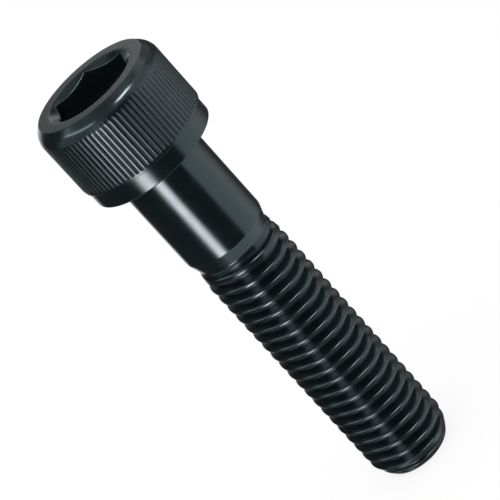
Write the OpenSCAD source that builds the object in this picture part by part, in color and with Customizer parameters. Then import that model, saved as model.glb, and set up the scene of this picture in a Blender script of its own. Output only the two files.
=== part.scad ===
// Hexagon socket head cap screw, M12 x 1.75, 55 mm long, partly threaded.
// One solid: a knurled cylindrical head with a hexagon socket, a plain shank,
// a shoulder down to the rolling blank and a rolled thread, left-hand as pictured.
// The screw stands on its point with the head up: Z runs along the axis and
// Z = 0 is the flat face of the point. Millimetres.

/* [Head] */
// Height of the head, from the bearing face to the top face
head_height = 12; // [10:0.1:15]
// Diameter over the knurl
knurl_dia = 18.2; // [17.9:0.05:20]
// Diameter of the plain band below the knurl
band_dia = 17.54; // [17:0.02:17.8]
// Diameter of the flat top face, inside the bevel
top_face_dia = 15.86; // [14:0.02:17.2]
// Height of the bevel at the top rim: a chamfer that rounds into the knurl
bevel_height = 1.78; // [0.8:0.02:2.4]
// Height of the plain band below the knurl, down to the bearing face
band_height = 1.6; // [1:0.05:3]
// Edge break at the rim of the bearing face
bearing_edge = 0.18; // [0.1:0.02:0.5]
// Radius of the fillet between the bearing face and the shank
underhead_fillet = 0.5; // [0.2:0.05:0.8]

/* [Knurl] */
// Number of straight ridges round the head
knurl_count = 78; // [40:1:100]
// Depth of the grooves between the ridges
knurl_depth = 0.3; // [0.2:0.02:0.5]
// Length over which the grooves fade in below the bevel
knurl_lead = 0.45; // [0.2:0.05:1]
// Length over which the ridges fade out above the plain band
knurl_fade = 1.25; // [0.5:0.05:2]
// Share of the pitch that is flat on top of a ridge
ridge_flat = 0.56; // [0.3:0.02:0.7]
// Share of the pitch that is flat at the bottom of a groove
groove_flat = 0.08; // [0.04:0.01:0.2]

/* [Socket] */
// Width of the hexagon across its flats
socket_flats = 10.1; // [8:0.1:10.6]
// Depth of the hexagon's walls below the top face
socket_depth = 6.4; // [5:0.1:8]
// Diameter of the countersunk mouth
socket_mouth_dia = 12.4; // [11.7:0.1:13.4]
// Included angle of the countersunk mouth
socket_mouth_angle = 120; // [90:1:140]
// Depth of the cone at the bottom of the socket
socket_cone_depth = 1.5; // [0.5:0.1:3]
// Turn of the hexagon about the screw's axis
socket_turn = 22.9; // [0:0.1:60]

/* [Shank] */
// Length under the head, from the bearing face to the point
length = 54.4; // [45:0.1:65]
// Diameter of the plain shank
shank_dia = 11.74; // [11.6:0.02:13]
// Length from the bearing face to the end of the full shank
plain_length = 13.5; // [8:0.1:18]
// Length of the shoulder's taper from the shank to the blank
shoulder_length = 1.8; // [1:0.1:3]

/* [Thread] */
// Hand of the thread. The photograph shows a left-hand helix; most such screws are right-hand
thread_hand = "left"; // [left, right]
// Rise of the thread in one turn
pitch = 1.75; // [1.5:0.05:2.2]
// Diameter over the thread's crests
thread_dia = 11.7; // [10.9:0.02:12]
// Diameter at the bottom of the thread's grooves
root_dia = 9.6; // [9.2:0.02:10.2]
// Diameter of the blank that the thread is rolled on
blank_dia = 10.66; // [10.3:0.02:11]
// Flat width of a crest along the axis
crest_width = 0.26; // [0.15:0.01:0.4]
// Flat width of a groove's bottom along the axis
root_width = 0.28; // [0.15:0.01:0.4]
// Length of the run-out, where the thread grows from nothing to its full depth
runout_length = 3.5; // [1.5:0.1:6]
// Diameter of the flat face of the point
point_dia = 8.3; // [7.8:0.05:9.4]
// Length of the point's rounded chamfer
point_length = 2.9; // [1:0.1:4]
// How round that chamfer is: 1 is a straight cone, less is rounder
point_round = 0.6; // [0.5:0.05:1]
// Height on the +X side, within one turn, where a groove is centred
thread_start = 0.84; // [0:0.01:1.74]

/* [Hidden] */
$fn = 96;
total = length + head_height;
knurl_r = knurl_dia / 2;
band_r = band_dia / 2;
shank_r = shank_dia / 2;
thread_r = thread_dia / 2;
root_r = root_dia / 2;
blank_r = blank_dia / 2;
point_r = point_dia / 2;
core_r = knurl_r - knurl_depth - 0.3;
rim_r = knurl_r + 0.01;
rim_top = total - bevel_height;
rim_bottom = rim_top - 0.05;
knurl_bottom = length + band_height;
// The shoulder's cone and the blank cross at a clear angle, each reaching into the other.
shoulder_top = length - plain_length;
shoulder_slope = (shank_r - blank_r) / shoulder_length;
shoulder_end = shoulder_top - shoulder_length;
buried = 0.35;
thread_top = shoulder_end + buried / shoulder_slope / 2;
runout_top = shoulder_end + 0.45;
facets = 48;
arc_steps = 6;

// The bevel: a straight chamfer from (x0, z0), then a curve that ends almost upright at (x1, z1).
function bevel(x0, z0, x1, z1) = let (q = [x0 + 0.85 * (x1 - x0), z0 + 0.57 * (z1 - z0)], p = [x0, z0] + 0.8 * (q - [x0, z0]))
    concat([[x0, z0]], [for (i = [0:arc_steps]) let (t = i / arc_steps)
        (1 - t) * (1 - t) * p + 2 * t * (1 - t) * q + t * t * [x1, z1]]);

// The head without its ridges, one closed outline turned about the axis.
module head_body() {
    rotate_extrude() polygon(concat(
        [[0, total]],
        bevel(top_face_dia / 2, total, rim_r, rim_top),
        [[rim_r, rim_bottom],
         [core_r, rim_bottom - knurl_lead * (rim_r - core_r) / knurl_depth],
         [core_r, knurl_bottom + 0.45 * knurl_fade],
         [band_r, knurl_bottom + 0.1 * knurl_fade],
         [band_r, length + bearing_edge],
         [band_r - bearing_edge, length],
         [0, length]]));
}

// One ridge and the groove beside it, as four points of the knurl's section.
function ridge(i) = let (step = 360 / knurl_count, low = knurl_r - knurl_depth, a = i * step)
    [for (p = [[low, -0.5 + groove_flat / 2], [knurl_r, -ridge_flat / 2],
               [knurl_r, ridge_flat / 2], [low, 0.5 - groove_flat / 2]])
        [p[0] * cos(a + p[1] * step), p[0] * sin(a + p[1] * step)]];

// The straight ridges, faded out toward the plain band by a cone.
module knurl() {
    intersection() {
        translate([0, 0, knurl_bottom - 0.3])
            linear_extrude(height = rim_top - 0.05 - knurl_bottom + 0.3)
                polygon([for (i = [0:knurl_count - 1]) each ridge(i)]);
        rotate_extrude() polygon([
            [0, knurl_bottom - 0.2],
            [band_r - 0.04, knurl_bottom - 0.2],
            [band_r - 0.04, knurl_bottom],
            [knurl_r + 0.04, knurl_bottom + knurl_fade],
            [knurl_r + 0.2, knurl_bottom + knurl_fade],
            [knurl_r + 0.2, rim_top],
            [0, rim_top]]);
    }
}

// What the socket takes away: hexagon walls, a countersunk mouth and a shallow cone below.
module socket() {
    corner_r = socket_flats / 2 / cos(30);
    mouth_r = socket_mouth_dia / 2;
    slope = tan(socket_mouth_angle / 2);
    translate([0, 0, total - socket_depth]) rotate([0, 0, socket_turn])
        cylinder(h = socket_depth + 1, r = corner_r, $fn = 6);
    translate([0, 0, total - mouth_r / slope])
        cylinder(h = mouth_r / slope + 0.5, r1 = 0, r2 = mouth_r + 0.5 * slope);
    translate([0, 0, total - socket_depth - socket_cone_depth])
        cylinder(h = socket_cone_depth + 0.2, r1 = 0,
                 r2 = (socket_flats / 2 - 0.25) * (1 + 0.2 / socket_cone_depth));
}

// Fillet, plain shank and shoulder, turned about the axis down into the thread's blank.
module shank() {
    rotate_extrude() polygon(concat(
        [[0, length + 1], [shank_r + underhead_fillet, length + 1],
         [shank_r + underhead_fillet, length]],
        [for (i = [1:arc_steps - 1]) let (t = 90 * i / arc_steps)
            [shank_r + underhead_fillet * (1 - sin(t)), length - underhead_fillet * (1 - cos(t))]],
        [[shank_r, length - underhead_fillet],
         [shank_r, shoulder_top],
         [blank_r - buried, shoulder_end - buried / shoulder_slope],
         [0, shoulder_end - buried / shoulder_slope]]));
}

// Lines of the thread run along the helix. Each turn has four: both edges of the groove and both edges of the crest.
line_z = [-root_width / 2, root_width / 2, (pitch - crest_width) / 2, (pitch + crest_width) / 2];
line_r = [root_r, root_r, thread_r, thread_r];
hand = thread_hand == "left" ? -1 : 1;
function height_of(i, j) = thread_start + pitch * (hand * i / facets + floor(j / 4)) + line_z[j - 4 * floor(j / 4)];
// The share of the full thread depth at a height: none at the blank, all below the run-out. It rises fast at first.
function grown(z) = pow(max(0, min(1, (runout_top - z) / runout_length)), 0.7);
function point_limit(z) = point_r + (thread_r - point_r) * pow(z / point_length, point_round);
function radius_of(z, j) = min(point_limit(z), blank_r + (line_r[j - 4 * floor(j / 4)] - blank_r) * grown(z));
turns = ceil(thread_top / pitch) + 1;
function column(i) = [for (j = [-8:4 * turns + 8]) if (height_of(i, j) > 0.05 && height_of(i, j) < thread_top - 0.05) j];
first = [for (i = [0:facets]) column(i)[0]];
last = [for (i = [0:facets]) let (c = column(i)) c[len(c) - 1]];
// Each column also has a point on the end face and one on the top.
start = [for (i = 0, s = 0; i < facets; s = s + last[i] - first[i] + 3, i = i + 1) s];
function index(i, j) = i == facets ? index(0, j + 4 * hand)
    : start[i] + max(first[i] - 1, min(last[i] + 1, j)) - first[i] + 1;

// The blank with the rolled thread on it, as one faceted solid.
module thread() {
    points = [for (i = [0:facets - 1]) let (a = 360 * i / facets) each concat(
        [[point_r * cos(a), point_r * sin(a), 0]],
        [for (j = [first[i]:last[i]]) let (z = height_of(i, j), r = radius_of(z, j)) [r * cos(a), r * sin(a), z]],
        [[blank_r * cos(a), blank_r * sin(a), thread_top]])];
    sides = [for (i = [0:facets - 1])
        for (j = [min(first[i], first[i + 1]) - 1:max(last[i], last[i + 1])])
            let (a = index(i, j), b = index(i, j + 1), c = index(i + 1, j + 1), d = index(i + 1, j))
            for (f = [[a, b, c], [a, c, d]]) if (f[0] != f[1] && f[1] != f[2] && f[0] != f[2]) f];
    polyhedron(points = points, faces = concat(sides,
        [[for (i = [0:facets - 1]) index(i, -99)],
         [for (i = [facets - 1:-1:0]) index(i, 9999)]]), convexity = 12);
}

module cap_screw() {
    color([0.17, 0.2, 0.215]) union() {
        difference() {
            union() {
                head_body();
                knurl();
            }
            socket();
        }
        shank();
        thread();
    }
}

cap_screw();
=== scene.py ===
# %% [markdown]
# # A hexagon socket cap screw in black-oxide steel
#
# The screw was forged and rolled from one steel blank, so it is one closed
# mesh here. It stands on its point with the head up: Z is its axis, Z = 0 is
# the flat of the point. Lengths in this file are millimetres until the mesh
# is made, because every size on a screw is known that way.
#
# The imported model comes in first.

# %% Load the frame
import math

import bmesh
import bpy
from mathutils import Matrix, Vector


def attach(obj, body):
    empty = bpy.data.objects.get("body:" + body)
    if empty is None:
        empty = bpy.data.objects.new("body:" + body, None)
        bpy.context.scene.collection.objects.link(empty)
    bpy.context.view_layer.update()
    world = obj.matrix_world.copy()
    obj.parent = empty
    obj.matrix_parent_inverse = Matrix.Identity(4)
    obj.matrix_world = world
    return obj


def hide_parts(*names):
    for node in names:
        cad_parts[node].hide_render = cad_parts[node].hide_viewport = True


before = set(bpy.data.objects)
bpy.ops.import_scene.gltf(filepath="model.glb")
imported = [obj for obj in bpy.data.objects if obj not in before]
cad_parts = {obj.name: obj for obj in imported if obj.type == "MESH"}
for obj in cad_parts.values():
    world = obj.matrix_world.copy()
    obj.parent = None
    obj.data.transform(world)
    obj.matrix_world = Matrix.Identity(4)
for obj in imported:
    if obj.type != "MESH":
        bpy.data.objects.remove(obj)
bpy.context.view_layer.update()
MM = 0.001

# %% [markdown]
# ## Sizes
# These are the sizes of an M12 x 1.75 screw, 55 mm long. Heights are measured
# from the point. They repeat the solid's own values, so the fine mesh lies on
# the solid that it stands for. It leaves the solid by a few tenths of a
# millimetre in the knurl and in the run-out of the thread, because the way
# the real ones catch the light asks for it.

# %% Sizes in millimetres
LENGTH = 54.4  # bearing face to point
TOTAL = 66.4  # top of the head
KNURL_R = 9.1  # over the ridges
GROOVE_TOP_R = 9.02  # in the grooves, near the bevel
GROOVE_R = 8.992  # in the grooves, at the lower end of the knurl
BAND_R = 8.77  # plain band below the knurl
LAND_R = 7.93  # flat top face, out to the bevel
SHANK_R = 5.87
THREAD_R = 5.85  # over the crests
BLANK_R = 5.33  # the blank that the thread is rolled on
POINT_R = 4.15  # flat face of the point
PITCH = 1.75
RIDGES = 78
FLATS = 10.1  # the hexagon, across its flats
MOUTH_R = 6.2  # the socket's countersunk mouth
HEX_TURN = 22.9  # azimuth of a corner of the hexagon, in degrees
print("head", round(TOTAL - LENGTH, 2), "x", 2 * KNURL_R, "shank", 2 * SHANK_R)

# %% [markdown]
# ## How the mesh is made
# A screw is nearly a lathe part, so its skin is a stack of rings, walked from
# the middle of the socket, up its walls, over the rim, down the outside and
# in to the middle of the point. What a lathe can't turn (the hexagon, the
# knurl and the thread) comes from rings whose points differ in radius or
# height. Booleans would leave slivers at each ridge; this way every point
# has a reason and the shading stays clean.
#
# The head needs many columns round it, ten for each ridge of the knurl. The
# shank is round and plain, so one column for each ridge is enough there.

# %% Columns round the screw
# Where the ten columns lie in a ridge's share of the circle.
RIDGE_AT = [0.0, 0.04, 0.12, 0.25, 0.38, 0.5, 0.62, 0.75, 0.88, 0.96]
RIDGE_LEAN = math.radians(31)  # a ridge is an arc, and leans this much where it meets the next
RIDGE_TURN = -0.12  # how far the pattern is turned, in ridges


def ridge_height(at):
    """Height of the arc at a place in the ridge, 0 in the groove and 1 on top."""
    drop = 1 - math.sqrt(1 - (math.sin(RIDGE_LEAN) * abs(2 * at - 1)) ** 2)
    return 1 - drop / (1 - math.cos(RIDGE_LEAN))


RIDGE_UP = [ridge_height(at) for at in RIDGE_AT]
RIDGE_COLUMNS = len(RIDGE_AT)
HEAD_COLUMNS = RIDGES * RIDGE_COLUMNS
SHANK_COLUMNS = RIDGES


def angle(i, columns):
    """Azimuth of a column in degrees. Column 0 is at a corner of the hexagon, or near it on the head."""
    if columns == HEAD_COLUMNS:
        return HEX_TURN + 360 * (i // RIDGE_COLUMNS + RIDGE_AT[i % RIDGE_COLUMNS] + RIDGE_TURN) / RIDGES
    return HEX_TURN + 360 * i / columns


print("columns round the head", HEAD_COLUMNS, "and round the shank", SHANK_COLUMNS)

# %% [markdown]
# ### Rings and what joins them
# Points and faces are collected in plain lists first, because a list is
# quick to fill, and Blender turns the lists into a mesh in one call. Each
# point also keeps two masks for the material: how much of an edge it lies
# on, and how deep in a groove of the knurl.

# %% Rings, and the faces between them
points, faces, edge_mask, groove_mask = [], [], [], []


def ring(radius, height, columns, edge=0.0, groove=0.0):
    """A ring of points. Each value is a number or a function of the column."""
    start = len(points)
    for i in range(columns):
        r, z, on_edge, in_groove = (v(i) if callable(v) else v for v in (radius, height, edge, groove))
        a = math.radians(angle(i, columns))
        points.append((r * math.cos(a), r * math.sin(a), z))
        edge_mask.append(on_edge)
        groove_mask.append(in_groove)
    return list(range(start, start + columns))


def next_ring(last, radius, height, edge=0.0, groove=0.0):
    """A ring that follows another on the walk, with quads between the two."""
    made = ring(radius, height, len(last), edge, groove)
    n = len(last)
    for i in range(n):
        j = (i + 1) % n
        faces.append((last[i], made[i], made[j], last[j]))
    return made


def fan(centre_height, rim, inward):
    """Triangles between a ring and a point on the axis."""
    points.append((0.0, 0.0, centre_height))
    edge_mask.append(0.0)
    groove_mask.append(0.0)
    c, n = len(points) - 1, len(rim)
    for i in range(n):
        j = (i + 1) % n
        faces.append((rim[i], c, rim[j]) if inward else (c, rim[i], rim[j]))


def curve(p, q, s, steps):
    """Points on a curve from p to s that leaves toward q and arrives from q."""
    out = []
    for k in range(steps + 1):
        t = k / steps
        out.append(tuple((1 - t) ** 2 * a + 2 * t * (1 - t) * b + t * t * c for a, b, c in zip(p, q, s)))
    return out


print("helpers ready, points so far", len(points))

# %% [markdown]
# ## The socket
# A forged hexagon has flat walls, small radii in its corners and a shallow
# cone at its floor. It could be cut out with a Boolean. But a column at
# azimuth phi from the middle of a flat meets the wall at flats / 2 / cos(phi),
# so rings can follow the hexagon without any cutting.

# %% Socket floor and walls
WALL_FOOT = TOTAL - 6.4  # height at which the walls end
FLOOR_MIDDLE = TOTAL - 7.8  # height of the floor's deepest point
CORNER_RADIUS = 0.22
COS_30 = math.cos(math.radians(30))
TAN_60 = math.tan(math.radians(60))  # the countersink's included angle is 120 degrees


def hexagon(i):
    """Distance from the axis to the socket's wall at a column of the head."""
    from_corner = (angle(i, HEAD_COLUMNS) - HEX_TURN + 30) % 60 - 30  # 0 at a corner
    centre = (FLATS / 2 - CORNER_RADIUS) / COS_30
    half = math.degrees(math.atan2(CORNER_RADIUS * 0.5, centre + CORNER_RADIUS * COS_30))
    d = math.radians(abs(from_corner))
    if abs(from_corner) < half:
        return centre * math.cos(d) + math.sqrt(CORNER_RADIUS**2 - (centre * math.sin(d)) ** 2)
    return FLATS / 2 / math.cos(math.radians(30) - d)


def cone_height(radius):
    """Height of the countersink's cone at a radius."""
    return TOTAL - (MOUTH_R - radius) / TAN_60


def scallop(i):
    """Height at which the cone meets the wall at a column of the head."""
    return cone_height(hexagon(i))


floor_inner = ring(2.2, FLOOR_MIDDLE + 0.55, HEAD_COLUMNS)
fan(FLOOR_MIDDLE, floor_inner, inward=False)
last = next_ring(floor_inner, 4.6, WALL_FOOT - 0.05)
last = next_ring(last, hexagon, WALL_FOOT + 0.12)
for share in (0.2, 0.45, 0.7, 0.9):
    last = next_ring(last, hexagon, lambda i: WALL_FOOT + (scallop(i) - WALL_FOOT) * share)
print("socket", FLATS, "across flats, scallops", round(TOTAL - scallop(HEAD_COLUMNS // 12), 2), "deep")

# %% [markdown]
# ### Scallops and mouth
# The mouth is a countersink, and each flat cuts its cone in a curved edge,
# the scallops that catch the light. A perfectly sharp edge catches none, so
# both the scallops and the rim of the mouth are rounded by a few rings.

# %% Rounded scallops and the countersunk mouth
LIP = 0.11  # how far the scallop's rounding reaches to either side
MOUTH_ROUND = 0.06  # the same at the rim of the mouth


def lip_radius(i, t):
    """Radius on the scallop's rounding, from the wall (t = 0) to the cone (t = 1)."""
    return hexagon(i) + t * t * LIP * COS_30


def lip_height(i, t):
    """Height on the scallop's rounding."""
    low, high = scallop(i) - LIP, scallop(i) + LIP * 0.5
    return (1 - t) ** 2 * low + 2 * t * (1 - t) * scallop(i) + t * t * high


def cone_radius(i, share):
    """Radius at a share of the way across the cone."""
    return hexagon(i) + MOUTH_ROUND + (MOUTH_R - 2 * MOUTH_ROUND - hexagon(i)) * share


for k in range(5):
    t = k / 4
    worn = 1 - abs(t - 0.5) * 2
    last = next_ring(last, lambda i: lip_radius(i, t), lambda i: lip_height(i, t), edge=worn)
for share in (0.4, 0.8):
    last = next_ring(last, lambda i: cone_radius(i, share), lambda i: cone_height(cone_radius(i, share)))
mouth = curve((MOUTH_R - MOUTH_ROUND, TOTAL - 0.035), (MOUTH_R, TOTAL), (MOUTH_R + MOUTH_ROUND, TOTAL), 3)
for r, z in mouth:
    last = next_ring(last, r, z, edge=0.7)
print("mouth", 2 * MOUTH_R, "wide, points so far", len(points))

# %% [markdown]
# ## Top face and bevel
# The top face is a flat ring, and a convex bevel runs from it out to the
# knurl: a chamfer whose lower part rounds off until it is upright. A Bevel
# modifier would round the ridges too, so the bevel is a curve of its own.
# The grooves of the knurl begin on that curve and cut in as they go down.

# %% Grooves that begin on the bevel
KNURL_START = TOTAL - 1.35  # where the grooves begin
GROOVE_TOP = KNURL_START - 1.15  # where they reach the depth of GROOVE_TOP_R
DEEP = 0.1  # depth of a groove at which its masks are full
RIDGE_WEAR = 0.2  # share of edge wear on top of a ridge


def groove_cut(z):
    """Depth of the grooves at a height near their upper end."""
    share = max(0.0, min(1.0, (KNURL_START - z) / (KNURL_START - GROOVE_TOP)))
    return (KNURL_R - GROOVE_TOP_R) * math.sin(share * math.pi / 2)


def knurl_ring(last, height, high, low):
    """The next ring of the walk on the knurl, with the radius of its ridges and of its grooves."""
    strength = min(1.0, (high - low) / DEEP)
    return next_ring(
        last,
        lambda i: low + (high - low) * RIDGE_UP[i % RIDGE_COLUMNS],
        height,
        edge=lambda i: RIDGE_UP[i % RIDGE_COLUMNS] ** 4 * strength * RIDGE_WEAR,
        groove=lambda i: (1 - RIDGE_UP[i % RIDGE_COLUMNS]) * strength,
    )


print("grooves begin", round(TOTAL - KNURL_START, 2), "below the top face")

# %% Top face and bevel
BEVEL_HEIGHT = 1.78
BEVEL_FOOT = TOTAL - BEVEL_HEIGHT  # where the bevel's curve ends, upright
LAND_EDGE = (LAND_R, TOTAL)
BEVEL_MEET = (LAND_R + 0.85 * (KNURL_R - LAND_R), TOTAL - 0.57 * BEVEL_HEIGHT)  # the corner rounded off
STRAIGHT = 0.6  # share of the way to that corner on which the chamfer stays straight


def toward(p, q, share):
    """The point at a share of the way from p to q."""
    return tuple(a + share * (b - a) for a, b in zip(p, q))


for r in (6.7, 7.5):
    last = next_ring(last, r, TOTAL)
chamfer_end = toward(LAND_EDGE, BEVEL_MEET, STRAIGHT)
bevel = curve((LAND_R - 0.05, TOTAL), LAND_EDGE, (LAND_R + 0.036, TOTAL - 0.039), 3)
bevel += [toward(LAND_EDGE, chamfer_end, share) for share in (0.2, 0.6, 0.9)]
bevel += curve(chamfer_end, BEVEL_MEET, (KNURL_R, BEVEL_FOOT), 8)
for r, z in bevel:
    if z < KNURL_START:
        last = knurl_ring(last, z, r, r - groove_cut(z))
    else:
        last = next_ring(last, r, z, edge=0.5 if z > TOTAL - 0.05 else 0.1)
print("bevel", BEVEL_HEIGHT, "high in", len(bevel), "rings")

# %% [markdown]
# ## The knurl
# The knurl is straight: rolled ridges with shallow grooves that deepen a
# little toward the bearing face and run out just above a plain band. The
# ridges are modelled and not drawn with a bump, because their round tops
# spread the light into the bright line across the head, and the sharp
# grooves between them cut that line into dashes.

# %% Knurl
KNURL_END = TOTAL - 9.3  # where the grooves have run out
KNURL_FADE = 0.3  # the height that this takes
KNURL_ROWS = (62.6, 61.4, 60.0, 58.6)  # heights of the rings in between


def smooth_step(t):
    """0 to 1 with level ends."""
    return t * t * (3 - 2 * t)


for k in range(1, 6):
    z = BEVEL_FOOT + (GROOVE_TOP - BEVEL_FOOT) * k / 5
    last = knurl_ring(last, z, KNURL_R, KNURL_R - groove_cut(z))
for z in (*KNURL_ROWS, KNURL_END + KNURL_FADE):
    down = (GROOVE_TOP - z) / (GROOVE_TOP - KNURL_END - KNURL_FADE)
    last = knurl_ring(last, z, KNURL_R, GROOVE_TOP_R + (GROOVE_R - GROOVE_TOP_R) * down)
for k in range(1, 5):
    z = KNURL_END + KNURL_FADE * (1 - k / 4)
    last = knurl_ring(last, z, KNURL_R, GROOVE_R + (KNURL_R - GROOVE_R) * smooth_step(k / 4))
print("knurl of", RIDGES, "ridges, points so far", len(points))

# %% [markdown]
# ## Plain band and bearing face
# Under the knurl the head steps in to a plain turned band. The step's upper
# edge and the rim of the bearing face are rounded a little. Both are made
# with the curve helper, as the bevel is, so their size is one number each.

# %% Plain band and bearing face
KNURL_FOOT = 56.76  # where the head steps in to the band
STEP_ROUND, STEP_IN = 0.16, 0.2  # how far its rounding reaches up the head, and in toward the band
EDGE_BREAK = 0.18  # the same at the rim of the bearing face
BEARING_R = 6.9  # a ring on the bearing face, near the shank

foot = curve((KNURL_R, KNURL_FOOT + STEP_ROUND), (KNURL_R, KNURL_FOOT), (KNURL_R - STEP_IN, KNURL_FOOT), 5)
for r, z in [(KNURL_R, KNURL_END - 0.08), *foot, (BAND_R, KNURL_FOOT - 0.03), (BAND_R, KNURL_FOOT - 0.08)]:
    last = next_ring(last, r, z)
rim = curve((BAND_R, LENGTH + EDGE_BREAK), (BAND_R, LENGTH), (BAND_R - EDGE_BREAK, LENGTH), 5)
for r, z in [(BAND_R, LENGTH + 1.5), (BAND_R, LENGTH + 0.5), *rim]:
    last = next_ring(last, r, z, edge=0.7 if LENGTH < z < LENGTH + 0.15 else 0.0)
bearing = next_ring(last, BEARING_R, LENGTH)
print("head rings done,", len(points), "points")

# %% [markdown]
# ## Shank and shoulder
# Ten columns of the head become one of the shank on the flat bearing face,
# where the change can't be seen. A small fillet leads into the plain shank.
# The shoulder below it is a cone down to the thinner blank that the thread
# was rolled on, and its upper corner is slightly rounded.

# %% From the bearing face to the end of the plain shank
FILLET = 0.5
SHANK_ROWS = (50.0, 46.0, 42.5, 41.2)  # heights of the rings on the plain shank

last = ring(SHANK_R + FILLET, LENGTH, SHANK_COLUMNS)
for j in range(SHANK_COLUMNS):
    k = (j + 1) % SHANK_COLUMNS
    fine_side = [bearing[(RIDGE_COLUMNS * j + m) % HEAD_COLUMNS] for m in range(RIDGE_COLUMNS + 1)]
    faces.append((fine_side[0], last[j], last[k]) + tuple(reversed(fine_side[1:])))
for k in range(1, 7):
    t = math.radians(15 * k)
    last = next_ring(last, SHANK_R + FILLET * (1 - math.sin(t)), LENGTH - FILLET * (1 - math.cos(t)))
for z in SHANK_ROWS:
    last = next_ring(last, SHANK_R, z)
print("shank", 2 * SHANK_R, "thick, points so far", len(points))

# %% Shoulder
SHOULDER_TOP = 40.78
SHOULDER_END = 39.0
SHOULDER_SLOPE = (SHANK_R - BLANK_R) / (SHOULDER_TOP - SHOULDER_END)
SHOULDER_ROUND = 0.07  # how far the rounding of its upper corner reaches


def blank_radius(z):
    """Radius of the blank under the thread: a cylinder, and the shoulder's cone above it."""
    return max(BLANK_R, min(SHANK_R, BLANK_R + (z - SHOULDER_END) * SHOULDER_SLOPE))


below = SHOULDER_TOP - SHOULDER_ROUND
above = SHOULDER_TOP + SHOULDER_ROUND
shoulder = curve((SHANK_R, above), (SHANK_R, SHOULDER_TOP), (blank_radius(below), below), 3)
shoulder += [(blank_radius(z), z) for z in (40.55, 40.35, 40.1)]
for r, z in shoulder:
    last = next_ring(last, r, z, edge=0.4 if z > below - 0.01 else 0.0)
thread_top_ring = last
THREAD_TOP = shoulder[-1][1]
print("thread's skin starts at", round(THREAD_TOP, 2))

# %% [markdown]
# ## The thread
# Lines of points climb along the helix, 24 for each turn: the round bottom
# of the groove, its two flanks and the round crest. A Screw modifier could
# turn the profile too, but it can't let the thread grow from the blank. The
# helix is left-hand, as pictured. Because the lines follow the thread, each
# crest stays smooth however few columns there are.

# %% Profile of one turn
THREAD_START = 0.84  # height of the groove's middle at azimuth 0, within a turn
HAND = -1  # 1 is a right-hand thread, -1 a left-hand one
ROOT_ROUND, CREST_ROUND = 0.12, 0.33
TAN_30 = math.tan(math.radians(30))
DEPTH = 0.5 * (ROOT_ROUND + CREST_ROUND) + (PITCH / 2 - COS_30 * (ROOT_ROUND + CREST_ROUND)) / TAN_30
ROOT_R = THREAD_R - DEPTH

half_profile = []  # (distance from the groove's middle, radius, how far it is a crest)
for a in (0, 30, 60):
    t = math.radians(a)
    half_profile.append((ROOT_ROUND * math.sin(t), ROOT_R + ROOT_ROUND * (1 - math.cos(t)), 0.0))
for v in (0.2, 0.3, 0.4, 0.5):
    half_profile.append((v, ROOT_R + 0.5 * ROOT_ROUND + (v - COS_30 * ROOT_ROUND) / TAN_30, 0.0))
for a in (60, 48, 36, 24, 12):
    t = math.radians(a)
    crest_r = THREAD_R - CREST_ROUND * (1 - math.cos(t))
    half_profile.append((PITCH / 2 - CREST_ROUND * math.sin(t), crest_r, 1 - a / 60))
profile = [(-v, r, e) for v, r, e in reversed(half_profile[1:])] + half_profile + [(PITCH / 2, THREAD_R, 1.0)]
LINES = len(profile)
print("thread depth", round(DEPTH, 3), "lines a turn", LINES)

# %% [markdown]
# ### Run-out and point
# A rolling die is bevelled at its end, so near the shank it presses shallow
# grooves and raises low crests. The metal rises along both flanks and closes
# to a crest, and near the run-out a shallow seam stays open on it. One smooth
# law would be shorter, but tables can follow what the silhouettes show. At
# the point a round chamfer trims the thread.

# %% Growth of the thread, and the limit at the point
# Pairs of a height and the share of the full thread that is reached there.
CREST_GROWTH = ((38.86, 0.0), (38.4, 0.3), (37.5, 0.52), (36.7, 0.72), (35.85, 1.0))
GROOVE_GROWTH = ((39.05, 0.0), (38.46, 0.42), (37.6, 0.78), (36.7, 1.0))
# Pairs of a height and the seam's depth on a crest there.
CREST_SEAM = ((38.2, 0.0), (37.4, 0.03), (35.0, 0.04), (30.0, 0.02), (0.0, 0.01))
SEAM_REACH = 0.17  # half the seam's width
POINT_LENGTH = 2.9  # of the chamfer
POINT_ROUND = 0.6  # how round it is: 1 is a straight cone, less is rounder
FACE_ROUND, FACE_ROUND_HEIGHT = 0.12, 0.35  # extra rounding toward the face of the point
TRIMMED_EDGE = 0.25  # edge wear where the chamfer trims a crest


def point_limit(z):
    """Radius of the point's rounded chamfer."""
    chamfer = (THREAD_R - POINT_R) * (z / POINT_LENGTH) ** POINT_ROUND
    return POINT_R + chamfer - FACE_ROUND * max(0.0, 1 - z / FACE_ROUND_HEIGHT) ** 2


def read(table, z):
    """The value at a height, from a table that runs downward."""
    for (z0, g0), (z1, g1) in zip(table, table[1:]):
        if z > z1:
            return g0 + (g1 - g0) * max(0.0, (z0 - z) / (z0 - z1))
    return table[-1][1]


for name, table in (("crest", CREST_GROWTH), ("groove", GROOVE_GROWTH)):
    print(name, "from", table[0][0], "down, full at", table[-1][0])

# %% Points along the helix
THREAD_END = 0.14  # height of the ring that closes the thread at the point
CLEAR = 0.04  # a line stays this far from the rings at both ends
TURNS = range(-3, 26)  # more than the thread has at any column


def line_height(i, j):
    """Height of line j at a column. The lines of the next turn up follow those of this one."""
    turn, m = divmod(j, LINES)
    return THREAD_START + PITCH * (HAND * angle(i, SHANK_COLUMNS) / 360 + turn) + profile[m][0]


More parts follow.
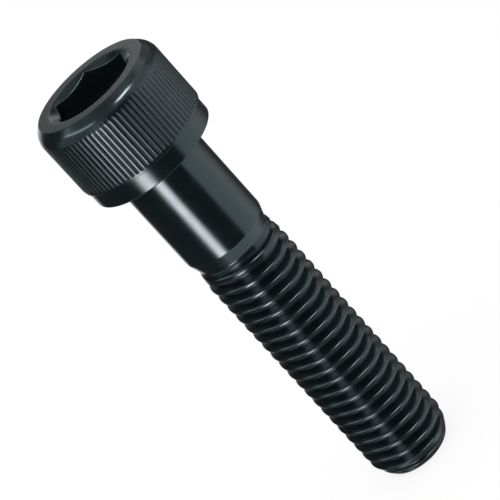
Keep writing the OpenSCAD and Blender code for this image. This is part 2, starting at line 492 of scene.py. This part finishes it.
def line_point(i, j):
    """Radius, height and edge mask of line j at a column."""
    z, (from_groove, r, edge) = line_height(i, j), profile[j % LINES]
    groove = z - from_groove
    crest = groove + math.copysign(PITCH / 2, from_groove)
    share = read(CREST_GROWTH, z)
    seam = read(CREST_SEAM, crest) * max(0.0, 1 - abs(z - crest) / SEAM_REACH)
    # A shallow groove is as steep as a deep one but narrower, so the profile is lifted, then cut off on top.
    r += (1 - read(GROOVE_GROWTH, groove)) * (BLANK_R - ROOT_R)
    r = min(r, BLANK_R + (THREAD_R - BLANK_R) * share) - seam
    if z > SHOULDER_END:
        r = max(r, blank_radius(z))
    if r > point_limit(z):
        r, edge = point_limit(z), TRIMMED_EDGE
    return r, z, edge * share


end_ring = ring(point_limit(THREAD_END), THREAD_END, SHANK_COLUMNS, edge=0.5)
columns = []
for i in range(SHANK_COLUMNS):
    a = math.radians(angle(i, SHANK_COLUMNS))
    lines = range(TURNS.start * LINES, TURNS.stop * LINES)
    keep = [j for j in lines if THREAD_END + CLEAR < line_height(i, j) < THREAD_TOP - CLEAR]
    column = {keep[0] - 1: end_ring[i], keep[-1] + 1: thread_top_ring[i]}
    for j in keep:
        r, z, edge = line_point(i, j)
        column[j] = len(points)
        points.append((r * math.cos(a), r * math.sin(a), z))
        edge_mask.append(edge)
        groove_mask.append(0.0)
    columns.append((keep[0] - 1, keep[-1] + 1, column))
print("thread of", round((THREAD_TOP - THREAD_END) / PITCH, 1), "turns, points so far", len(points))

# %% [markdown]
# ### Faces of the thread
# A quad joins two lines between two columns. After the last column the walk
# is back at the first, but one turn further along the helix. Where a column
# has no such line, it gives its end point, and the face closes to a triangle.


# %% Faces along the helix
def thread_point(i, j):
    """Index of line j at a column; past either end it is the end's own point."""
    if i == SHANK_COLUMNS:
        i, j = 0, j + HAND * LINES
    low, high, column = columns[i]
    return column[max(low, min(high, j))]


before = len(faces)
for i in range(SHANK_COLUMNS):
    n = (i + 1) % SHANK_COLUMNS
    shift = HAND * LINES if n == 0 else 0
    low = min(columns[i][0], columns[n][0] - shift)
    high = max(columns[i][1], columns[n][1] - shift)
    for j in range(low, high):
        corners = [thread_point(*at) for at in ((i, j + 1), (i, j), (i + 1, j), (i + 1, j + 1))]
        unique = [c for k, c in enumerate(corners) if c != corners[k - 1]]
        if len(unique) > 2:
            faces.append(tuple(unique))
print("thread faces", len(faces) - before)

# %% [markdown]
# ### Flat of the point
# The last edge is rounded by four rings, and two more carry the flat face to
# the middle, so that its shading stays level right up to the edge.

# %% Flat of the point
last = end_ring
face_edge = [(point_limit(0.07), 0.07), (point_limit(0.025), 0.025), (POINT_R - 0.09, 0.006)]
for r, z in face_edge + [(POINT_R - 0.16, 0.0), (3.0, 0.0), (1.4, 0.0)]:
    last = next_ring(last, r, z, edge=0.5 if z > 0 else 0.0)
fan(0.0, last, inward=True)
print("all points", len(points))

# %% [markdown]
# ## From lists to a mesh
# Blender works in metres, so this is where the millimetres end. The masks
# become attributes of the points. A part that is one piece of steel has to be
# one closed skin, and a closed skin has two faces at every edge, which bmesh
# can count.

# %% Make the mesh
mesh = bpy.data.meshes.new("cap_screw_body")
mesh.from_pydata([(x * MM, y * MM, z * MM) for x, y, z in points], [], faces)
mesh.update()
checker = bmesh.new()
checker.from_mesh(mesh)
loose = [e for e in checker.edges if len(e.link_faces) != 2]
volume = checker.calc_volume(signed=True) / MM**3
checker.free()
for name, values in (("edge_mask", edge_mask), ("groove_mask", groove_mask)):
    mesh.attributes.new(name, "FLOAT", "POINT").data.foreach_set("value", values)
mesh.shade_smooth()
screw = bpy.data.objects.new("cap_screw_body", mesh)
bpy.context.scene.collection.objects.link(screw)
triangles = sum(len(f) - 2 for f in faces)
print("points", len(points), "triangles", triangles)
print("open edges", len(loose), "volume, mm3", round(volume, 1))

# %% [markdown]
# ## Place it on the frame
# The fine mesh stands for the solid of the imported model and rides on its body.

# %% Ride and replace
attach(screw, "root")
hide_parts("cap_screw")
print(screw.name, "stands for cap_screw")

# %% [markdown]
# ## Black oxide
# The finish is a thin layer of oxide grown in a hot salt bath and then oiled.
# It is a dark, cool grey with a soft gloss: most of what one sees is what it
# reflects. The oxide is not a metal to the eye, so the shader is a dielectric
# with a very dark base. Three groups give it life: a fine grain from the bath,
# the lines left by turning and rolling, and the wear that thins the oxide on
# crests and rims. A group is built once and can be placed in any material.

# %% Helpers for node groups
FLOAT, VECTOR = "NodeSocketFloat", "NodeSocketVector"


def new_group(name, inputs, outputs):
    """An empty shader group with (name, kind, default) inputs and float outputs."""
    group = bpy.data.node_groups.new(name, "ShaderNodeTree")
    for label, kind, default in inputs:
        socket = group.interface.new_socket(label, in_out="INPUT", socket_type=kind)
        if default is not None:
            socket.default_value = default
    for label in outputs:
        group.interface.new_socket(label, in_out="OUTPUT", socket_type=FLOAT)
    start, end = group.nodes.new("NodeGroupInput"), group.nodes.new("NodeGroupOutput")
    return group, start.outputs, end.inputs


def add(tree, kind, links=(), **values):
    """A node with its properties set, and its sockets linked or given a value."""
    node = tree.nodes.new(kind)
    for key, value in values.items():
        setattr(node, key, value)
    for socket, source in links:
        if isinstance(source, bpy.types.NodeSocket):
            tree.links.new(source, node.inputs[socket])
        else:
            node.inputs[socket].default_value = source
    return node


def math_node(tree, operation, *values, clamp=False):
    """The output of a Math node."""
    return add(tree, "ShaderNodeMath", enumerate(values), operation=operation, use_clamp=clamp).outputs[0]


print("node groups so far", len(bpy.data.node_groups))

# %% [markdown]
# ### Grain
# Under a lens the oxide is a fine, even stipple over a slower mottling left by
# the oil. Both come from noise on the object's own coordinates, in metres, so
# they stay in place when the screw moves and need no unwrapping.

# %% Grain group
grain, g_in, g_out = new_group(
    "Oxide grain",
    [("Position", VECTOR, None), ("Grain size", FLOAT, 0.00012), ("Mottle size", FLOAT, 0.0025)],
    ["Grain", "Mottle"],
)
GRAIN_LAYERS = (("Grain", "Grain size", 3.0, 0.6), ("Mottle", "Mottle size", 4.0, 0.55))
for label, size, detail, roughness in GRAIN_LAYERS:
    scale = math_node(grain, "DIVIDE", 1.0, g_in[size])
    settings = [("Vector", g_in["Position"]), ("Scale", scale), ("Detail", detail), ("Roughness", roughness)]
    noise = add(grain, "ShaderNodeTexNoise", settings)
    grain.links.new(noise.outputs["Fac"], g_out[label])
print("group", grain.name, "nodes", len(grain.nodes))

# %% [markdown]
# ### Tool lines
# Turning and rolling leave faint rings round the axis. Stretched noise does
# this: the height is scaled up and the way round is left nearly flat.

# %% Tool lines group
ACROSS = 120.0  # noise cells in a metre across the screw: few, so that the lines run far round
tool, t_in, t_out = new_group(
    "Tool lines",
    [("Position", VECTOR, None), ("Line width", FLOAT, 0.00009)],
    ["Lines"],
)
split = add(tool, "ShaderNodeSeparateXYZ", [(0, t_in["Position"])])
tall = math_node(tool, "DIVIDE", split.outputs[2], t_in["Line width"])
side_x = math_node(tool, "MULTIPLY", split.outputs[0], ACROSS)
side_y = math_node(tool, "MULTIPLY", split.outputs[1], ACROSS)
joined = add(tool, "ShaderNodeCombineXYZ", [(0, side_x), (1, side_y), (2, tall)])
settings = [("Vector", joined.outputs[0]), ("Scale", 1.0), ("Detail", 2.0), ("Roughness", 0.5)]
streaks = add(tool, "ShaderNodeTexNoise", settings)
tool.links.new(streaks.outputs["Fac"], t_out["Lines"])
print("group", tool.name, "nodes", len(tool.nodes))

# %% [markdown]
# ### Wear
# Handling thins the oxide on crests, ridges and rims. The mesh carries a mask
# of those places, made with the rings, and the mottling breaks it up. The
# Bevel node finds sharp edges by itself, but it can't tell a worn crest from
# an edge that nothing touches.

# %% Edge wear group
wear, w_in, w_out = new_group(
    "Edge wear",
    [("Edge", FLOAT, 0.0), ("Break-up", FLOAT, 0.5), ("Amount", FLOAT, 0.5)],
    ["Wear"],
)
broken = add(wear, "ShaderNodeMapRange", [(0, w_in["Break-up"]), (1, 0.35), (2, 0.65), (3, 0.25), (4, 1.0)])
masked = math_node(wear, "MULTIPLY", w_in["Edge"], broken.outputs[0])
wear.links.new(math_node(wear, "MULTIPLY", masked, w_in["Amount"], clamp=True), w_out["Wear"])
print("group", wear.name, "nodes", len(wear.nodes))

# %% [markdown]
# ### The material
# Each group is placed once and feeds the shader. The mottling also makes the
# oil film a little rougher in places, and the grooves of the knurl are much
# rougher than the rest, because no tool or hand has polished them. The cool
# tint sits on the reflection, since the base is too dark to show a colour.

# %% Black-oxide material
DARK, LIGHT, WORN = (0.0032, 0.0056, 0.0068, 1), (0.0060, 0.0090, 0.0106, 1), (0.026, 0.031, 0.033, 1)
GROOVE_ROUGHNESS = 0.7  # what a groove's bottom adds to the roughness

oxide = bpy.data.materials.new("Black oxide")
oxide.use_nodes = True
tree = oxide.node_tree
shader = tree.nodes["Principled BSDF"]
where = add(tree, "ShaderNodeTexCoord").outputs["Object"]
on_edge = add(tree, "ShaderNodeAttribute", attribute_name="edge_mask").outputs["Fac"]
oxide_grain = add(tree, "ShaderNodeGroup", [("Position", where)], node_tree=grain).outputs
oxide_lines = add(tree, "ShaderNodeGroup", [("Position", where)], node_tree=tool).outputs
wear_values = [("Edge", on_edge), ("Break-up", oxide_grain["Mottle"]), ("Amount", 0.5)]
oxide_wear = add(tree, "ShaderNodeGroup", wear_values, node_tree=wear).outputs

mottled = add(tree, "ShaderNodeMix", [(0, oxide_grain["Mottle"]), (6, DARK), (7, LIGHT)], data_type="RGBA")
sockets = [(0, oxide_wear["Wear"]), (6, mottled.outputs[2]), (7, WORN)]
colour = add(tree, "ShaderNodeMix", sockets, data_type="RGBA")
tree.links.new(colour.outputs[2], shader.inputs["Base Color"])
rough = add(tree, "ShaderNodeMapRange", [(0, oxide_grain["Mottle"]), (1, 0.3), (2, 0.7), (3, 0.14), (4, 0.2)])
in_groove = add(tree, "ShaderNodeAttribute", attribute_name="groove_mask").outputs["Fac"]
matt = math_node(tree, "MULTIPLY_ADD", in_groove, GROOVE_ROUGHNESS, rough.outputs[0], clamp=True)
tree.links.new(matt, shader.inputs["Roughness"])
sockets = [(0, 0.5), (2, oxide_grain["Grain"]), (3, oxide_lines["Lines"])]
height = add(tree, "ShaderNodeMix", sockets, data_type="FLOAT")
bump = add(tree, "ShaderNodeBump", [("Strength", 0.12), ("Distance", 0.00002), ("Height", height.outputs[0])])
tree.links.new(bump.outputs[0], shader.inputs["Normal"])
shader.inputs["IOR"].default_value = 1.65
shader.inputs["Specular Tint"].default_value = (0.69, 0.95, 1.0, 1)
mesh.materials.append(oxide)
print("material", oxide.name, "nodes", len(tree.nodes))

# %% [markdown]
# ## Studio
# The screw stands on plain white paper that runs out of the picture. The eye
# sees the paper mostly as plain white, whatever lies on it, so that only a
# faint shadow is left. It lies a hair below the point's face, because two
# faces at the same height would flicker.

# %% Plain floor
FLOOR_HALF = 3.0  # in metres
FLOOR_HEIGHT = -0.01
WHITENESS = 0.85  # how much of the paper the eye sees as plain white

floor_mesh = bpy.data.meshes.new("floor")
sheet = [(x * FLOOR_HALF, y * FLOOR_HALF, FLOOR_HEIGHT * MM) for x, y in ((-1, -1), (1, -1), (1, 1), (-1, 1))]
floor_mesh.from_pydata(sheet, [], [(0, 1, 2, 3)])
floor = bpy.data.objects.new("floor", floor_mesh)
bpy.context.scene.collection.objects.link(floor)
paper = bpy.data.materials.new("White paper")
paper.use_nodes = True
tree = paper.node_tree
matte = tree.nodes["Principled BSDF"]
matte.inputs["Base Color"].default_value = (0.93, 0.93, 0.93, 1)
matte.inputs["Roughness"].default_value = 0.9
matte.inputs["Specular IOR Level"].default_value = 0.0
glow = add(tree, "ShaderNodeEmission", [("Color", (1, 1, 1, 1)), ("Strength", 1.0)])
looked_at = add(tree, "ShaderNodeLightPath").outputs["Is Camera Ray"]
white = math_node(tree, "MULTIPLY", looked_at, WHITENESS)
mixed = add(tree, "ShaderNodeMixShader", [(0, white), (1, matte.outputs[0]), (2, glow.outputs[0])])
tree.links.new(mixed.outputs[0], tree.nodes["Material Output"].inputs["Surface"])
floor_mesh.materials.append(paper)
print("floor", 2 * FLOOR_HALF, "m wide")

# %% [markdown]
# ### What the steel mirrors
# A dark, glossy cylinder shows its surroundings more than itself, so the room
# is arranged as a product photographer does it: a pale room gives the cool
# grey, dark boards in front and on the left give the deep shadows, a bright
# strip gives the line of light down the screw, and a softbox and a low fill
# give the glints on the bevel and the crests.
#
# Real panels could stand round the screw, but they would get into the picture
# from some side. Only reflections need to see them, so the world answers a
# glossy ray with a picture made of soft-edged rectangles in azimuth and
# elevation, and every other ray with plain white. The floor is left out of
# reflections, or it would cover the lower half of that picture.

# %% Panel group: a soft-edged rectangle in azimuth and elevation
LIMITS = ("From", "To", "Low", "High", "Side softness", "Height softness")
panel, p_in, p_out = new_group(
    "Studio panel", [(label, FLOAT, 0.0) for label in ("Azimuth", "Elevation", *LIMITS)], ["Mask"]
)


def soft_edge(value, edge, softness):
    """1 well above an edge and 0 well below it."""
    low = math_node(panel, "SUBTRACT", edge, softness)
    high = math_node(panel, "ADD", edge, softness)
    sockets = [(0, value), (1, low), (2, high)]
    return add(panel, "ShaderNodeMapRange", sockets, interpolation_type="SMOOTHSTEP").outputs[0]


def between(value, start, end, softness):
    """1 between two edges and 0 outside them."""
    before_end = math_node(panel, "SUBTRACT", 1.0, soft_edge(value, end, softness))
    return math_node(panel, "MULTIPLY", soft_edge(value, start, softness), before_end)


across = between(p_in["Azimuth"], p_in["From"], p_in["To"], p_in["Side softness"])
upward = between(p_in["Elevation"], p_in["Low"], p_in["High"], p_in["Height softness"])
panel.links.new(math_node(panel, "MULTIPLY", across, upward), p_out["Mask"])
print("panel group", panel.name, "nodes", len(panel.nodes))

# %% The panels
ROOM = (1.0, 1.0, 1.0, 1)
GREY, WARM = (1.0, 1.0, 1.0), (1.0, 0.78, 0.79)
# Azimuth from and to, elevation low and high, side and height softness, all in
# degrees, then tint and brightness. The azimuth runs from the camera's side toward -X.
# A panel covers those above it in the list.
PANELS = [
    ("ceiling", -400, 400, 46, 200, 10, 8, GREY, 0.36),
    ("zenith", -400, 400, 77, 200, 10, 7, GREY, 0.06),
    ("nadir", -400, 400, -200, -66, 10, 4, GREY, 0.15),
    ("front top", -15, 40, 50, 82, 10, 6, GREY, 0.22),
    ("right upper", -112, -45, 9, 46, 8, 6, GREY, 0.75),
    ("right, far upper", -158, -98, 0, 32, 12, 6, GREY, 0.3),
    ("right ceiling", -175, -80, 52, 82, 8, 6, GREY, 0.3),
    ("back wall", -400, -172, 5, 46, 5, 6, GREY, 0.50),
    ("back wall, left", 150, 400, 5, 46, 8, 6, GREY, 0.27),
    ("right shade", -400, -116, -75, 10, 26, 7, GREY, 0.07),
    ("right board", -172, -142, 24, 52, 6, 4, GREY, 0.08),
    ("front board", -39, 22, -45, 24, 5, 4, GREY, 0.024),
    ("front board, upper", -8, 40, 24, 50, 6, 5, GREY, 0.25),
    ("front board, right upper", -42, -8, 22, 40, 6, 4, GREY, 0.42),
    ("left board", 52, 118, -55, 34, 6, 7, GREY, 0.03),
    ("left upper", 40, 108, -8, 36, 8, 8, GREY, 0.45),
    ("left board, far", 108, 154, -62, 50, 9, 5, GREY, 0.035),
    ("left fill", 38, 104, 34, 42, 6, 4, GREY, 4.5),
    ("strip", 25.5, 44.5, -35, -17, 7, 4.5, WARM, 15.5),
    ("softbox", -58, -20, 45, 55, 8, 4, WARM, 23.0),
]
print("panels", [p[0] for p in PANELS])

# %% World: white to the eye, panels to a reflection
world = bpy.data.worlds.new("Pale room")
bpy.context.scene.world = world
world.use_nodes = True
sky = world.node_tree
sky.nodes["Background"].inputs["Strength"].default_value = 1.0
direction = add(sky, "ShaderNodeTexCoord")
x, y, z = add(sky, "ShaderNodeSeparateXYZ", [(0, direction.outputs["Generated"])]).outputs
to_left = math_node(sky, "MULTIPLY", x, -1.0)
to_camera = math_node(sky, "MULTIPLY", y, -1.0)
azimuth = math_node(sky, "DEGREES", math_node(sky, "ARCTAN2", to_left, to_camera))
elevation = math_node(sky, "DEGREES", math_node(sky, "ARCSINE", z))
picture = ROOM
for title, *limits, tint, brightness in PANELS:
    shown = tuple(c * brightness for c in tint) + (1,)
    sockets = [("Azimuth", azimuth), ("Elevation", elevation), *zip(LIMITS, limits)]
    mask = add(sky, "ShaderNodeGroup", sockets, node_tree=panel, label=title).outputs["Mask"]
    picture = add(sky, "ShaderNodeMix", [(0, mask), (6, picture), (7, shown)], data_type="RGBA").outputs[2]
glossy = add(sky, "ShaderNodeLightPath").outputs["Is Glossy Ray"]
seen = add(sky, "ShaderNodeMix", [(0, glossy), (6, (1, 1, 1, 1)), (7, picture)], data_type="RGBA")
sky.links.new(seen.outputs[2], sky.nodes["Background"].inputs["Color"])
world.cycles.sampling_method = "NONE"  # the picture differs from ray to ray, so it is found by rays alone
floor.visible_glossy = False
print("world", world.name, "nodes", len(sky.nodes))

# %% [markdown]
# ### A lamp for the shadow
# White light from all sides leaves no shadow to speak of. One large, weak
# lamp from the upper left puts a soft one under the screw.

# %% Soft lamp for the floor's shadow
AIM = Vector((0, 0, 35)) * MM  # the middle of the screw


def area_lamp(name, azimuth, elevation, distance, size, power):
    """A square lamp aimed at the screw. The azimuth is measured as for the panels."""
    a, e = math.radians(azimuth), math.radians(elevation)
    away = Vector((-math.sin(a) * math.cos(e), -math.cos(a) * math.cos(e), math.sin(e))) * distance * MM
    lamp = bpy.data.lights.new(name, "AREA")
    lamp.size, lamp.energy = size * MM, power
    made = bpy.data.objects.new(name, lamp)
    bpy.context.scene.collection.objects.link(made)
    made.location = AIM + away
    made.rotation_mode = "QUATERNION"
    made.rotation_quaternion = (-away).to_track_quat("-Z", "Y")
    made.visible_glossy = False
    return made


key = area_lamp("soft_key", azimuth=40, elevation=60, distance=600, size=500, power=0.8)
print("lamp at, mm", [round(v / MM) for v in key.location])

# %% [markdown]
# ## Camera
# The photograph looks down on the head from 23.3 degrees with a long lens,
# and is rolled 42 degrees. A camera can be placed by eye, but every small
# error of it would look like a wrong shape. So these values come from
# fitting a camera to the screw's outline and edges.

# %% Camera
LENS, ELEVATION, ROLL = 190.5, 23.31, 42.11  # millimetres and degrees
HEAD_OFFSET = Vector((-19.19, -19.60, 315.33))  # the top of the axis: right, down and away from the camera
e, roll = math.radians(ELEVATION), math.radians(ROLL)
forward = Vector((0, math.cos(e), -math.sin(e)))
level_up = Vector((0, math.sin(e), math.cos(e)))
level_right = Vector((1, 0, 0))
right = level_right * math.cos(roll) - level_up * math.sin(roll)
up = level_right * math.sin(roll) + level_up * math.cos(roll)
spot = Vector((0, 0, TOTAL)) - right * HEAD_OFFSET[0] + up * HEAD_OFFSET[1] - forward * HEAD_OFFSET[2]
camera = bpy.data.cameras.new("camera")
camera.lens, camera.sensor_width = LENS, 36.0
camera.clip_start, camera.clip_end = 0.01, 20.0
view_from = bpy.data.objects.new("camera", camera)
turn = Matrix((right, up, -forward)).transposed().to_4x4()
view_from.matrix_world = Matrix.Translation(spot * MM) @ turn
bpy.context.scene.collection.objects.link(view_from)
bpy.context.scene.camera = view_from
bpy.context.scene.view_settings.view_transform = "Standard"
print("camera at, mm", [round(v, 1) for v in spot])
